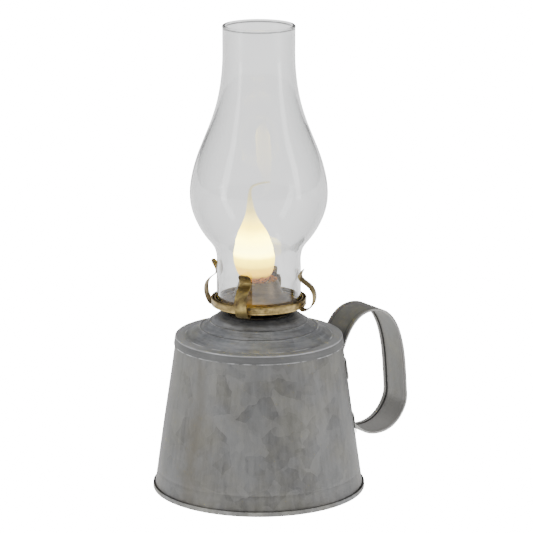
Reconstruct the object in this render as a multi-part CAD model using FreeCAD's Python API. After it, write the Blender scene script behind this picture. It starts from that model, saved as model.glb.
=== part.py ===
import FreeCAD, Part
import math
import os

from FreeCAD import Vector

# An electric candle lamp in the form of an old finger lamp. All sizes are in millimetres.
# +Z is up, the ground is z = 0, the lamp's axis is x = y = 0 and the handle points along +X.

# Clearances
solder_gap = 0.05        # between sheets that are soldered or rolled together
turning_gap = 0.05       # radial, between a male and a female thread
body_gap = 0.3           # between pieces that move against each other
facing_gap = 0.06        # between flat faces that turn on each other

# Base: a tapered drum of thin sheet on a rolled foot
foot_radius = 79.9
shoulder_radius = 62.9
wall_height = 118.6
sheet = 0.55
rim_sheet = 0.85
rim_height = 3.8
pan_recess = 7.0
seam_width = 8.0
seam_azimuth = 90.0

# Lid: skirt, flat shoulder, stepped dome and a flat top for the collar
skirt_depth = 6.1
shoulder_width = 8.0
dome_rise = 17.3
crown_margin = 2.0       # flat metal left round the collar's flange
bead_height = 0.5

# Collar and gasket
thread_radius = 16.0
thread_pitch = 1.8
collar_wall = 3.0
collar_stand = 3.7       # above the lid's top
collar_sink = 5.3        # below the lid's top
flange_width = 5.0
flange_thickness = 1.2
gasket_thickness = 1.1
gasket_width = 3.2

# Burner cup and gallery ring
cup_sheet = 0.8
cup_depth = 12.6
cup_floor_radius = 27.0
ledge_rise = 3.8
ring_height = 6.0
ring_drop = 3.2          # below the chimney's seat
ring_sheet = 0.7
ring_wall_gap = 1.7
lip_radius = 0.6

# Chimney
fitter_radius = 31.75
fitter_height = 34.5
glass = 2.0
bulge_radius = 51.75
neck_radius = 27.1
chimney_height = 209.5
bead_radius = 1.25
chimney_play = 1.05      # between the fitter and the gallery ring
chimney_edge_gap = 0.45  # between the glass and the deflector's edge

# Deflector: deck and bell
deflector_sheet = 0.5
deck_height = 0.9
bell_foot_radius = 26.2
bell_mouth_radius = 14.4
bell_height = 15.4

# Prongs
prong_width = 9.3
prong_sheet = 0.6
prong_tip_rounding = 3.6
# Each prong was bent by hand. Azimuth, how far it bows out past its foot, the heights above the foot at
# which it bows out most, meets the glass and ends, and how far its tip turns away from the glass
prongs = (
    (39.0, 13.0, 8.6, 18.0, 23.0, 4.4),
    (129.0, 8.5, 11.0, 24.0, 33.0, 4.4),
    (219.0, 11.0, 11.4, 23.6, 31.6, 4.8),
    (309.0, 10.6, 9.6, 24.2, 30.4, 2.6),
)

# Handle
strap_width = 30.5
strap_sheet = 0.8
hem_width = 4.0
hem_sheet = 0.7
handle_drop = 14.5       # from the skirt's edge down to the upper root
handle_foot = 42.5       # height of the lower root
handle_reach = 55.0      # from the wall out to the grip
tab_height = 12.0
rivet_radius = 1.6
rivet_head_radius = 3.0
rivet_head_height = 1.1
rivet_spread = 8.0

# Cord inlet
cord_radius = 3.2
inlet_height = 18.0
grommet_hole_radius = 6.0
grommet_flange_radius = 8.0
grommet_flange = 1.4
grommet_slack = 0.5      # room for the wall's curve in the groove

# Socket and the threaded tube that carries it
tube_radius = 5.0
tube_bore = 3.5
tube_length = 17.0
tube_engagement = 4.2    # inside the bracket
washer_radius = 9.0
washer_thickness = 0.8
nut_flats = 14.0
nut_thickness = 3.0
bush_flange = 1.2
bracket_wall = 1.2
bracket_plate = 1.0
socket_lean = 4.5        # degrees, the bracket being bent a little to one side
lean_azimuth = 147.0
socket_radius = 9.4
socket_height = 23.6
socket_floor = 4.0
shell_wall = 0.6
shell_lift = 1.5
shell_length = 17.0
socket_rivet_radius = 0.8
wire_hole_radius = 1.1
contact_sheet = 0.35
contact_width = 3.6

# Bulb
cap_radius = 5.9
cap_wall = 0.3
cap_length = 17.0
button_radius = 2.2
button_height = 0.9
insulator_height = 1.8
flame_radius = 15.5
flame_skin_thickness = 1.6
flame_widest = 19.0      # above the skin's lower edge
skin_overlap = 0.6       # how far the skin hangs over the cap
envelope_wall = 0.7
envelope_height = 42.0
wisp_azimuth = -33.0
wisp_run = 16.5          # how far the hooked tip reaches sideways

wall_slope = (foot_radius - shoulder_radius) / wall_height
wall_lean = math.degrees(math.atan(wall_slope))


def wall_radius(z):
    """Outer radius of the drum at height z."""
    return foot_radius - wall_slope * z


# Heights and radii that follow from the sizes above
shoulder_z = wall_height + solder_gap + sheet
skirt_bottom = wall_height - skirt_depth
lid_top = shoulder_z + dome_rise
crown_radius = thread_radius + collar_wall + flange_width + crown_margin
collar_top = lid_top + collar_stand
cup_floor_z = collar_top + 2 * facing_gap + gasket_thickness
ledge_z = cup_floor_z + cup_sheet + ledge_rise
chimney_z = ledge_z + body_gap
ring_z = ledge_z - ring_drop
ring_inner = fitter_radius + chimney_play
ring_outer = ring_inner + 2 * ring_sheet + ring_wall_gap
cup_bottom_z = cup_floor_z - cup_depth
cup_inside_z = cup_bottom_z + cup_sheet
tube_top = cup_inside_z + tube_engagement
plate_z = tube_top + bracket_plate
socket_z = plate_z + bracket_plate
socket_floor_z = socket_z + socket_floor
socket_cavity = cap_radius + body_gap + shell_wall + solder_gap
contact_top = socket_floor_z + 4.2 * contact_sheet
bulb_z = contact_top + body_gap
cap_z = bulb_z + button_height + insulator_height
skin_z = cap_z + cap_length - skin_overlap


def point(r, z):
    return Vector(r, 0, z)


def smooth(points):
    """A curve through the points."""
    curve = Part.BSplineCurve()
    curve.interpolate(points)
    return [curve.toShape()]


def straight(points):
    """Straight edges from point to point."""
    return [Part.LineSegment(a, b).toShape() for a, b in zip(points, points[1:])]


def offset(points, distance):
    """The points moved sideways by distance, to the left of their path, with mitred corners."""
    steps = [(b - a).normalize() for a, b in zip(points, points[1:])]
    moved = []
    for index, place in enumerate(points):
        before = steps[max(index - 1, 0)]
        after = steps[min(index, len(steps) - 1)]
        normal = Vector(-before.z - after.z, 0, before.x + after.x).normalize()
        stretch = normal.dot(Vector(-after.z, 0, after.x))
        moved.append(place + normal * (distance / stretch))
    return moved


def section(runs, thickness, shift=0):
    """The cut face of a sheet that follows a path. A run is (smooth or straight, points), and each
    run starts at the point where the last one ends."""
    path = [runs[0][1][0]]
    for shape, points in runs:
        path += points[1:]
    near_path = offset(path, shift)
    far_path = offset(path, shift + thickness)
    edges = straight([near_path[0], far_path[0]]) + straight([near_path[-1], far_path[-1]])
    start = 0
    for shape, points in runs:
        end = start + len(points) - 1
        edges += shape(near_path[start:end + 1])
        edges += shape(far_path[start:end + 1])
        start = end
    return Part.Face(Part.Wire(Part.__sortEdges__(edges)))


def revolved(face):
    return face.revolve(Vector(0, 0, 0), Vector(0, 0, 1), 360)


def turned(points):
    """A solid of revolution from a closed outline of (radius, height) pairs."""
    corners = [point(r, z) for r, z in points]
    return revolved(Part.Face(Part.makePolygon(corners + corners[:1])))


def ring(inner, outer, bottom, top):
    return turned([(inner, bottom), (outer, bottom), (outer, top), (inner, top)])


def extruded(face, width):
    """A face in the XZ plane made into a strip, centred on that plane."""
    face.translate(Vector(0, -width / 2, 0))
    return face.extrude(Vector(0, width, 0))


def turn(shape, azimuth):
    shape.rotate(Vector(0, 0, 0), Vector(0, 0, 1), azimuth)
    return shape


def leaned(shape):
    """Tips a piece of the socket or the bulb over, about the middle of the bracket's plate."""
    azimuth = math.radians(lean_azimuth)
    shape.rotate(Vector(0, 0, plate_z), Vector(-math.sin(azimuth), math.cos(azimuth), 0), socket_lean)
    return shape


def on_wall(shape, azimuth, height):
    """Takes a shape made round +Z, with z = 0 at the wall's outside, and sets it square on the wall."""
    shape.rotate(Vector(0, 0, 0), Vector(0, 1, 0), 90 - wall_lean)
    shape.translate(Vector(wall_radius(height), 0, height))
    return turn(shape, azimuth)


def cone_shell(inside, outside, bottom, top, half_width=None):
    """A shell that follows the wall, from `inside` to `outside` of its outer face, whole or a patch at +X."""
    shell = turned([(wall_radius(bottom) + inside, bottom), (wall_radius(bottom) + outside, bottom),
                    (wall_radius(top) + outside, top), (wall_radius(top) + inside, top)])
    if half_width is None:
        return shell
    reach = 2 * foot_radius
    patch = Part.makeBox(reach, 2 * half_width, top - bottom, Vector(0, -half_width, bottom))
    return shell.common(patch)


# Where things are fixed to the wall
handle_top = skirt_bottom - handle_drop
upper_tab_z = handle_top - tab_height
lower_tab_z = handle_foot
rivet_heights = (upper_tab_z + tab_height / 3, lower_tab_z + 2 * tab_height / 3)


def at_each_rivet(make):
    """One shape of make() at each of the handle's four rivets."""
    shapes = []
    for height in rivet_heights:
        for side in (-1, 1):
            azimuth = math.degrees(math.asin(side * rivet_spread / wall_radius(height)))
            shapes.append(on_wall(make(), azimuth, height))
    return shapes


def rivet_hole():
    return Part.makeCylinder(rivet_radius + solder_gap, 6 * sheet, Vector(0, 0, -3 * sheet))


def base_wall():
    bottom = rim_sheet + solder_gap
    wall = cone_shell(-sheet, 0, bottom, wall_height)
    lap = cone_shell(-sheet / 2, sheet, rim_height + sheet, skirt_bottom - sheet, seam_width / 2)
    wall = wall.fuse(turn(lap, seam_azimuth)).removeSplitter()
    inlet = Part.makeCylinder(grommet_hole_radius, 12 * sheet, Vector(0, 0, -6 * sheet))
    return wall.cut([on_wall(inlet, 0, inlet_height)] + at_each_rivet(rivet_hole))


def base_pan():
    hem_inner = foot_radius + solder_gap
    hem_outer = hem_inner + rim_sheet
    leg_outer = wall_radius(pan_recess + rim_sheet) - sheet - solder_gap
    leg_inner = leg_outer - rim_sheet
    return turned([(0, pan_recess), (leg_inner, pan_recess), (leg_inner, 0), (hem_outer, 0),
                   (hem_outer, rim_height), (hem_inner, rim_height), (hem_inner, rim_sheet),
                   (leg_outer, rim_sheet), (leg_outer, pan_recess + rim_sheet),
                   (0, pan_recess + rim_sheet)])


def lid():
    clear = 3 * solder_gap + sheet
    ridge = wall_radius(shoulder_z) + clear
    dome_foot = ridge - shoulder_width
    hole = thread_radius + collar_wall + solder_gap
    run = dome_foot - crown_radius
    skirt = [point(wall_radius(skirt_bottom) + clear, skirt_bottom), point(ridge, shoulder_z),
             point(dome_foot, shoulder_z)]
    lower_step = [point(dome_foot, shoulder_z),
                  point(dome_foot - 0.33 * run, shoulder_z + 0.33 * dome_rise + bead_height)]
    upper_step = [lower_step[-1],
                  point(dome_foot - 0.38 * run, shoulder_z + 0.35 * dome_rise + bead_height),
                  point(dome_foot - 0.60 * run, shoulder_z + 0.64 * dome_rise)]
    crown = [upper_step[-1], point(dome_foot - 0.79 * run, shoulder_z + 0.87 * dome_rise),
             point(crown_radius, lid_top)]
    top = [crown[-1], point(hole, lid_top)]
    path = skirt + lower_step[1:] + upper_step[1:] + crown[1:] + top[1:]
    return revolved(section([(straight, path)], sheet))


def collar():
    outer = thread_radius + collar_wall
    flange = outer + flange_width
    shoulder = lid_top + flange_thickness
    return turned([(thread_radius, lid_top - collar_sink), (outer, lid_top - collar_sink), (outer, lid_top),
                   (flange, lid_top), (flange, shoulder), (outer, shoulder), (outer, collar_top),
                   (thread_radius, collar_top)])


def strap_path():
    """The strap's middle line, from the upper root round the grip to the lower root."""
    top_r = wall_radius(handle_top)
    foot_r = wall_radius(handle_foot)
    upper = [(-1.4, -3.5), (0.9, 2.5), (8.5, 18.3), (17.5, 27.0), (handle_reach / 2, 30.0),
             (handle_reach - 14.5, 27.5), (handle_reach - 4.0, 16.5), (handle_reach + 1.1, 4.0)]
    lower = [(handle_reach - 1.4, 17.5), (handle_reach - 1.2, 7.9), (handle_reach - 10.3, -4.5),
             (handle_reach / 2, -13.7), (13.2, -10.5), (4.6, -4.0), (-1.4, 1.6)]
    return [point(top_r + r, handle_top + z) for r, z in upper] + \
           [point(foot_r + r, handle_foot + z) for r, z in lower]


def handle_strap():
    path = [(smooth, strap_path())]
    strap = extruded(section(path, strap_sheet, -strap_sheet / 2), strap_width)
    for side in (-1, 1):
        hem = extruded(section(path, hem_sheet + strap_sheet / 4, -strap_sheet / 2 - hem_sheet), hem_width)
        hem.translate(Vector(0, side * (strap_width - hem_width) / 2, 0))
        strap = strap.fuse(hem)
    drum = turned([(0, 0), (foot_radius + solder_gap, 0), (shoulder_radius + solder_gap, wall_height),
                   (0, wall_height)])
    strap = strap.cut(drum)
    for bottom in (upper_tab_z, lower_tab_z):
        tab = cone_shell(solder_gap, strap_sheet, bottom, bottom + tab_height, strap_width / 2)
        strap = strap.fuse(tab)
    return strap.removeSplitter().cut(at_each_rivet(rivet_hole))


def handle_rivet():
    grip = sheet + solder_gap
    stand = strap_sheet + solder_gap
    shank = Part.makeCylinder(rivet_radius, grip + stand, Vector(0, 0, -grip))
    head = Part.makeCone(rivet_head_radius, rivet_head_radius / 2, rivet_head_height, Vector(0, 0, stand))
    tail = Part.makeCylinder(rivet_head_radius - rivet_radius / 2, rivet_head_height / 2,
                             Vector(0, 0, -grip - rivet_head_height / 2))
    return shank.fuse([head, tail]).removeSplitter()


def handle_rivets():
    return Part.makeCompound(at_each_rivet(handle_rivet))


def cord_grommet():
    outer = grommet_flange
    inner = -sheet - grommet_slack
    groove = grommet_hole_radius - solder_gap
    body = turned([(cord_radius, inner - grommet_flange), (grommet_flange_radius, inner - grommet_flange),
                   (grommet_flange_radius, inner), (groove, inner), (groove, 0), (grommet_flange_radius, 0),
                   (grommet_flange_radius, outer), (cord_radius, outer)])
    return on_wall(body, 0, inlet_height)


def burner_gasket():
    inner = thread_radius + body_gap
    bottom = collar_top + facing_gap
    return ring(inner, inner + gasket_width, bottom, bottom + gasket_thickness)


def burner_cup():
    spigot = thread_radius - turning_gap
    path = [point(tube_radius + solder_gap, cup_bottom_z), point(spigot, cup_bottom_z),
            point(spigot, cup_floor_z), point(cup_floor_radius, cup_floor_z),
            point(cup_floor_radius + ledge_rise, ledge_z - cup_sheet), point(ring_inner, ledge_z - cup_sheet)]
    return revolved(section([(straight, path)], cup_sheet))


def gallery_ring():
    inner_wall = ring_inner + ring_sheet
    outer_wall = ring_outer - ring_sheet
    top = ring_z + ring_height - lip_radius
    channel = turned([(ring_inner, ring_z), (ring_outer, ring_z), (ring_outer, top), (outer_wall, top),
                      (outer_wall, ring_z + ring_sheet), (inner_wall, ring_z + ring_sheet), (inner_wall, top),
                      (ring_inner, top)])
    lips = [Part.makeTorus(ring_outer - ring_sheet / 2, lip_radius, Vector(0, 0, top)),
            Part.makeTorus(ring_inner + ring_sheet / 2, lip_radius, Vector(0, 0, top))]
    return channel.fuse(lips)


def deflector():
    edge = fitter_radius - glass - chimney_edge_gap
    deck_z = ledge_z + deck_height
    run = bell_foot_radius - bell_mouth_radius
    deck = [point(edge, ledge_z), point(edge, deck_z), point(bell_foot_radius, deck_z)]
    bell = [deck[-1], point(bell_mouth_radius + 0.62 * run, deck_z + 0.08 * bell_height),
            point(bell_mouth_radius + 0.34 * run, deck_z + 0.35 * bell_height),
            point(bell_mouth_radius + 0.15 * run, deck_z + 0.68 * bell_height),
            point(bell_mouth_radius, deck_z + bell_height)]
    return revolved(section([(straight, deck), (smooth, bell)], deflector_sheet))


def prong(azimuth, reach, bow_height, touch_height, tip_height, flare):
    """A spring strip: hooked under the ring, bowed out, in to the glass and out again at its tip."""
    foot_r = ring_inner + prong_sheet
    foot_z = ring_z - prong_sheet
    touch_r = fitter_radius + body_gap + prong_sheet
    touch_z = foot_z + touch_height
    bow_z = foot_z + bow_height
    tip_z = foot_z + tip_height
    path = [point(foot_r, foot_z), point(foot_r + 1.8, foot_z - 1.3), point(foot_r + 3.7, foot_z - 1.2),
            point(foot_r + 0.74 * reach, foot_z + 0.16 * bow_height),
            point(foot_r + reach, bow_z),
            point(foot_r + 0.80 * reach, bow_z + 0.42 * (touch_z - bow_z)),
            point((2 * touch_r + foot_r + reach) / 3, bow_z + 0.73 * (touch_z - bow_z)),
            point(touch_r, touch_z), point(touch_r + 0.3 * flare, (touch_z + tip_z) / 2),
            point(touch_r + flare, tip_z)]
    strip = extruded(section([(smooth, path)], prong_sheet, -prong_sheet / 2), prong_width)
    corners = [edge for edge in strip.Edges
               if edge.Length < 1.2 * prong_sheet and edge.CenterOfMass.z > tip_z - 1]
    return turn(strip.makeFillet(prong_tip_rounding, corners), azimuth)


def chimney():
    """A straight fitter, a bulge and a long straight neck with a beaded rim."""
    swell = bulge_radius - fitter_radius
    fall = bulge_radius - neck_radius
    body = chimney_z + fitter_height
    rise = chimney_height - fitter_height
    swelling = ((0, 0), (0.10, 0.04), (0.36, 0.08), (0.72, 0.145), (0.94, 0.213), (1, 0.277))
    narrowing = ((0.06, 0.35), (0.275, 0.455), (0.56, 0.555), (0.80, 0.655), (0.945, 0.76), (1, 0.865))
    outline = [point(fitter_radius + swell * share, body + rise * height) for share, height in swelling]
    outline += [point(bulge_radius - fall * share, body + rise * height) for share, height in narrowing]
    fitter = [point(fitter_radius, chimney_z), outline[0]]
    neck = [outline[-1], point(neck_radius, chimney_z + chimney_height - bead_radius)]
    wall = revolved(section([(straight, fitter), (smooth, outline), (straight, neck)], glass))
    rim = Part.makeTorus(neck_radius - glass / 2, bead_radius, Vector(0, 0, neck[-1].z))
    return wall.fuse(rim)


def threaded_tube():
    return ring(tube_bore, tube_radius, tube_top - tube_length, tube_top)


def lock_washer():
    return ring(tube_radius + solder_gap, washer_radius, cup_bottom_z - washer_thickness, cup_bottom_z)


def lock_nut():
    top = cup_bottom_z - washer_thickness
    corner = nut_flats / math.sqrt(3)
    turns = [math.radians(60 * side) for side in range(7)]
    corners = [Vector(corner * math.cos(t), corner * math.sin(t), top - nut_thickness) for t in turns]
    block = Part.Face(Part.makePolygon(corners)).extrude(Vector(0, 0, nut_thickness))
    bore = tube_radius + turning_gap
    return block.cut(Part.makeCylinder(bore, nut_thickness, Vector(0, 0, top - nut_thickness)))


def tube_bush():
    end = tube_top - tube_length
    plug = tube_bore - solder_gap
    bore = tube_bore - bush_flange
    top = end + 2 * bush_flange
    return turned([(bore, end - bush_flange), (tube_radius, end - bush_flange), (tube_radius, end),
                   (plug, end), (plug, top), (bore, top)])


def socket_rivet_places():
    radius = (socket_cavity + socket_radius) / 2
    return [Vector(0, side * radius, 0) for side in (-1, 1)]


def socket_bracket():
    """A threaded hub with a plate on top that is bent over to one side."""
    bore = tube_radius + turning_gap
    hub = ring(bore, bore + bracket_wall, cup_inside_z, plate_z + bracket_plate / 2)
    plate = ring(tube_bore, socket_radius, plate_z, socket_z)
    holes = [Part.makeCylinder(socket_rivet_radius, bracket_plate, place + Vector(0, 0, plate_z))
             for place in socket_rivet_places()]
    return hub.fuse(leaned(plate.cut(holes))).removeSplitter()


def socket_rivets():
    rivets = []
    head_height = socket_rivet_radius / 2
    for place in socket_rivet_places():
        foot = place + Vector(0, 0, plate_z)
        shank = Part.makeCylinder(socket_rivet_radius, bracket_plate + socket_floor, foot)
        head = Part.makeCylinder(1.6 * socket_rivet_radius, head_height, foot - Vector(0, 0, head_height))
        rivets.append(shank.fuse(head).removeSplitter())
    return Part.makeCompound(rivets)


def socket_body():
    body = turned([(0, socket_z), (socket_radius, socket_z), (socket_radius, socket_z + socket_height),
                   (socket_cavity, socket_z + socket_height), (socket_cavity, socket_floor_z),
                   (0, socket_floor_z)])
    holes = [Part.makeCylinder(socket_rivet_radius, socket_floor, place + Vector(0, 0, socket_z))
             for place in socket_rivet_places()]
    holes += [Part.makeCylinder(wire_hole_radius, socket_floor, Vector(0, side * tube_bore * 0.6, socket_z))
              for side in (-1, 1)]
    return body.cut(holes)


def socket_shell():
    outer = socket_cavity - solder_gap
    bottom = socket_floor_z + shell_lift
    return ring(outer - shell_wall, outer, bottom, bottom + shell_length)


def centre_contact():
    """A brass tongue, flat on the socket's floor and folded back up over itself."""
    low = socket_floor_z + contact_sheet / 2
    high = contact_top - contact_sheet / 2
    half = cap_radius - 3 * contact_sheet
    path = [point(-half, low), point(half - 1, low), point(half, (low + high) / 2),
            point(half - 1, high - 0.1), point(-button_radius, high)]
    face = section([(straight, path)], contact_sheet, -contact_sheet / 2)
    return extruded(face, contact_width)


def bulb_contact():
    return turned([(0, bulb_z), (button_radius / 2, bulb_z), (button_radius, bulb_z + button_height / 2),
                   (button_radius, bulb_z + button_height), (0, bulb_z + button_height)])


def bulb_insulator():
    bottom = bulb_z + button_height
    rim = cap_radius - cap_wall
    return turned([(0, bottom), (button_radius, bottom), (rim, cap_z), (0, cap_z)])


def bulb_screw_cap():
    return ring(cap_radius - cap_wall, cap_radius, cap_z, cap_z + cap_length)


def flame_outline(inset):
    """The flame's half outline, from its lower edge to where the wisp starts, moved in by inset."""
    shares = ((0.55, 0), (0.78, 0.28), (0.93, 0.60), (1, 1), (0.93, 1.42), (0.78, 1.84), (0.62, 2.13),
              (0.45, 2.38))
    return [point(flame_radius * share - inset, skin_z + flame_widest * height) for share, height in shares]


def envelope(inset, top):
    """A closed solid of the bulb's glass, moved in by inset."""
    side = flame_outline(inset)[:-2]
    neck = cap_radius - cap_wall - solder_gap - (inset - flame_skin_thickness)
    neck_z = cap_z + cap_length / 2 + (inset - flame_skin_thickness)
    base = [point(0, neck_z), point(neck, neck_z), point(neck, skin_z + skin_overlap), side[1]]
    dome = side[1:] + [point(0, top)]
    edges = straight(base) + smooth(dome) + straight([point(0, top), point(0, neck_z)])
    return revolved(Part.Face(Part.Wire(edges)))


def bulb_glass():
    top = skin_z + envelope_height
    outer = envelope(flame_skin_thickness, top)
    return outer.cut(envelope(flame_skin_thickness + envelope_wall, top - envelope_wall))


def bulb_stem():
    neck_z = cap_z + cap_length / 2 + 2 * envelope_wall
    top = skin_z + flame_widest / 2
    foot = cap_radius - cap_wall - 3 * envelope_wall
    return turned([(0, neck_z), (foot, neck_z), (foot / 2, neck_z + 2 * foot), (foot / 2, top), (0, top)])


def bulb_filament():
    """Two support wires and the filament that hangs between them."""
    bottom = skin_z + flame_widest / 2
    height = flame_widest * 0.7
    spread = flame_radius / 3
    wire = 0.3
    foot = bottom + wire + solder_gap
    path = [Vector(-1, 0, foot), Vector(-spread, 0, bottom + height), Vector(0, 0, bottom + height * 1.15),
            Vector(spread, 0, bottom + height), Vector(1, 0, foot)]
    rods = []
    for a, b in zip(path, path[1:]):
        rods.append(Part.makeCylinder(wire, (b - a).Length, a, b - a))
        if b is not path[-1]:
            rods.append(Part.makeSphere(wire, b))
    return rods[0].fuse(rods[1:])


def wisp():
    """The drawn-out tip of the silicone: up from the flame, then hooked over to one side."""
    stations = ((0, 2.34, 6.6), (0, 2.62, 4.2), (0, 2.90, 3.0), (0.01, 3.18, 2.2), (0.02, 3.46, 1.5),
                (0.08, 3.72, 1.1), (0.26, 3.87, 0.9), (0.60, 3.94, 0.75), (1, 3.96, 0.55))
    places = [Vector(wisp_run * share, 0, skin_z + flame_widest * height)
              for share, height, radius in stations]
    circles = []
    for index, (share, height, radius) in enumerate(stations):
        before = places[max(index - 1, 0)]
        after = places[min(index + 1, len(places) - 1)]
        circles.append(Part.Wire(Part.makeCircle(radius, places[index], after - before)))
    return turn(Part.makeLoft(circles, True), wisp_azimuth)


def flame_skin():
    outline = flame_outline(0)
    opening = cap_radius + solder_gap
    top = point(0, outline[-1].z)
    edges = smooth(outline) + straight([outline[-1], top, point(0, skin_z), outline[0]])
    body = revolved(Part.Face(Part.Wire(edges))).fuse(wisp())
    hollow = envelope(flame_skin_thickness - 3 * solder_gap, skin_z + envelope_height + solder_gap)
    throat = Part.makeCylinder(opening, 2 * skin_overlap, Vector(0, 0, skin_z - skin_overlap))
    return body.cut([hollow, throat])


def build():
    pieces = {
        "base_wall": base_wall(),
        "base_pan": base_pan(),
        "lid": lid(),
        "collar": collar(),
        "handle_strap": handle_strap(),
        "handle_rivets": handle_rivets(),
        "cord_grommet": cord_grommet(),
        "burner_gasket": burner_gasket(),
        "burner_cup": burner_cup(),
        "gallery_ring": gallery_ring(),
        "deflector": deflector(),
        "threaded_tube": threaded_tube(),
        "lock_washer": lock_washer(),
        "lock_nut": lock_nut(),
        "tube_bush": tube_bush(),
        "socket_bracket": socket_bracket(),
        "socket_rivets": leaned(socket_rivets()),
        "socket_body": leaned(socket_body()),
        "socket_shell": leaned(socket_shell()),
        "centre_contact": leaned(centre_contact()),
        "chimney": chimney(),
        "bulb_screw_cap": leaned(bulb_screw_cap()),
        "bulb_insulator": leaned(bulb_insulator()),
        "bulb_contact": leaned(bulb_contact()),
        "bulb_glass": leaned(bulb_glass()),
        "bulb_stem": leaned(bulb_stem()),
        "bulb_filament": leaned(bulb_filament()),
        "flame_skin": leaned(flame_skin()),
    }
    for number, shape in enumerate(prongs, 1):
        pieces[f"prong_{number}"] = prong(*shape)
    return pieces


os.makedirs("parts", exist_ok=True)
for name, shape in build().items():
    shape.exportStep(f"parts/{name}.step")
    print(name, "solids", len(shape.Solids), "valid", shape.isValid(), "volume", round(shape.Volume, 1))
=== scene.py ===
import bpy
import math
from mathutils import Matrix, Vector


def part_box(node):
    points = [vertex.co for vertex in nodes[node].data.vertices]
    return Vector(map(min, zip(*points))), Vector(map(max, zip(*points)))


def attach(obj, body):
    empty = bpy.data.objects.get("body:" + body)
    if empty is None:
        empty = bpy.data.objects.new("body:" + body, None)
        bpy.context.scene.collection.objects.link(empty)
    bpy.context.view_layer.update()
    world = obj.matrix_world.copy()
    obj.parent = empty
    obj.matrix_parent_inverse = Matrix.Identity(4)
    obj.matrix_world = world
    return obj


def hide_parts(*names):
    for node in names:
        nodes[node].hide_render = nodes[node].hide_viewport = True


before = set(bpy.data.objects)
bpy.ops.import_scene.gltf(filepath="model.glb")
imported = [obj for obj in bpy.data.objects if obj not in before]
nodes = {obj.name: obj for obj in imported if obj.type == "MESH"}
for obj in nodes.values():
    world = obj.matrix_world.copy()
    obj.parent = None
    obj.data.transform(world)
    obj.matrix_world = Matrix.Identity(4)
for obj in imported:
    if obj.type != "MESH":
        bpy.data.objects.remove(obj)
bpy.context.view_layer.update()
lampAxis = Vector((0, 0, 0))


def only(piece):
    # the one selected and active object
    bpy.ops.object.select_all(action="DESELECT")
    piece.select_set(True)
    bpy.context.view_layer.objects.active = piece


def edit(piece):
    only(piece)
    bpy.ops.object.mode_set(mode="EDIT")


def leaveEdit():
    bpy.ops.object.mode_set(mode="OBJECT")


def selectAll():
    bpy.ops.mesh.select_all(action="SELECT")


def settle(piece):
    only(piece)
    bpy.ops.object.transform_apply(location=True, rotation=True, scale=True)


def drawPath(name, points):
    # a chain of edges, drawn by extruding one vertex from point to point
    bpy.ops.object.select_all(action="DESELECT")
    bpy.ops.mesh.primitive_plane_add(size=0.01, location=(0, 0, 0))
    piece = bpy.context.object
    piece.name = name
    piece.data.name = name
    bpy.ops.object.mode_set(mode="EDIT")
    selectAll()
    bpy.ops.mesh.merge(type="CENTER")
    bpy.ops.transform.translate(value=points[0])
    for start, end in zip(points, points[1:]):
        step = Vector(end) - Vector(start)
        bpy.ops.mesh.extrude_vertices_move(TRANSFORM_OT_translate={"value": step})
    return piece


def turnOver(piece):
    edit(piece)
    selectAll()
    bpy.ops.mesh.flip_normals()
    leaveEdit()


def selectWhere(piece, wanted):
    # only the vertices whose places are wanted; the piece stays in edit mode
    edit(piece)
    bpy.ops.mesh.select_all(action="DESELECT")
    leaveEdit()
    for vertex in piece.data.vertices:
        vertex.select = wanted(vertex.co)
    edit(piece)


def joined(pieces):
    bpy.ops.object.select_all(action="DESELECT")
    for piece in pieces:
        piece.select_set(True)
    bpy.context.view_layer.objects.active = pieces[0]
    bpy.ops.object.join()
    return pieces[0]


def lathe(name, points, steps, start=0, sweep=360):
    # points are (radius, height); the chain is spun round the lamp's axis
    piece = drawPath(name, [(r, 0, z) for r, z in points])
    selectAll()
    if start:
        turnSelected(start, "Z", lampAxis)
    bpy.ops.mesh.spin(steps=steps, angle=math.radians(sweep), center=(0, 0, 0), axis=(0, 0, 1))
    selectAll()
    bpy.ops.mesh.remove_doubles(threshold=1e-6)
    bpy.ops.mesh.normals_make_consistent(inside=False)
    leaveEdit()
    return piece


def turnSelected(degrees, about, centre):
    # with no window the rotate operator turns the other way, so the angle is given its sign here
    bpy.ops.transform.rotate(value=-math.radians(degrees), orient_axis=about, center_override=centre)


def modify(piece, kind, **settings):
    only(piece)
    modifier = piece.modifiers.new(kind.lower(), kind)
    for key, value in settings.items():
        setattr(modifier, key, value)
    bpy.ops.object.modifier_apply(modifier=modifier.name)


def thicken(piece, thickness, side=-1):
    modify(piece, "SOLIDIFY", thickness=thickness, offset=side, use_even_offset=True)


def softenEdges(piece, width, segments=2, angle=30):
    modify(piece, "BEVEL", width=width, segments=segments, limit_method="ANGLE",
           angle_limit=math.radians(angle), harden_normals=False)


def dent(piece, size, depth, seed):
    # shallow unevenness of hand-formed sheet, only ever inwards
    clouds = bpy.data.textures.new(piece.name + "Dents", "CLOUDS")
    clouds.noise_scale = size
    clouds.noise_depth = 1
    only(piece)
    piece.location = (seed, 0, 0)
    bpy.ops.object.transform_apply(location=True)
    modify(piece, "DISPLACE", texture=clouds, strength=depth, mid_level=1.0, texture_coords="LOCAL")
    piece.location = (-seed, 0, 0)
    bpy.ops.object.transform_apply(location=True)


def polish(piece, angle=35):
    only(piece)
    bpy.ops.object.shade_smooth_by_angle(angle=math.radians(angle))


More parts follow.
